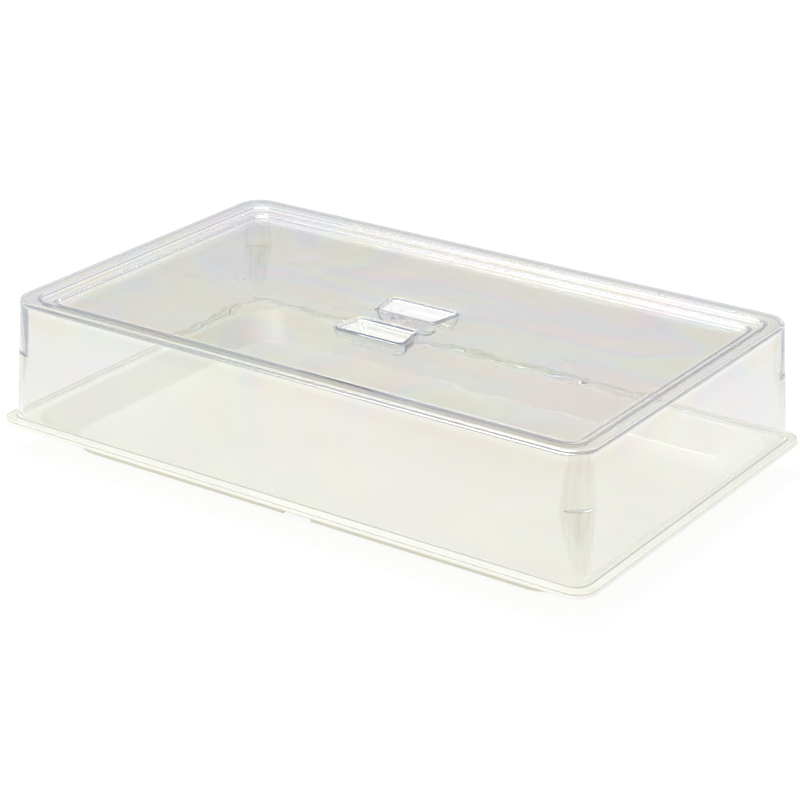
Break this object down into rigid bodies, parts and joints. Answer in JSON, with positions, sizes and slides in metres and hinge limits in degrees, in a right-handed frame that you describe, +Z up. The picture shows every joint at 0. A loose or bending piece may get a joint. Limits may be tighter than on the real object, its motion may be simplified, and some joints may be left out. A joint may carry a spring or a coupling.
{
  "type": "humidity dome tray",
  "caption": "Long shallow white tray on a low foot, under a clear lift-off domed cover with a stepped flat top and a pair of recessed finger pockets as its grip.",
  "frame": {"origin": "on the surface the tray stands on, under the centre of the whole object", "axes": "+X along the long side, +Y across, +Z up"},
  "size_m": [0.53, 0.325, 0.1235],
  "materials": {
    "tray_plastic": "smooth glossy moulded ivory white",
    "cover_plastic": "clear moulded plastic, polished"
  },
  "bodies": {
    "tray": {"tray_floor": "tray_plastic", "tray_rim": "tray_plastic"},
    "cover": {"dome_cover": "cover_plastic"}
  },
  "joints": [
    {"name": "dome_lift", "type": "slide", "parent": "tray", "child": "cover", "axis": [0, 0, 1], "range_m": [0, 0.15]}
  ]
}
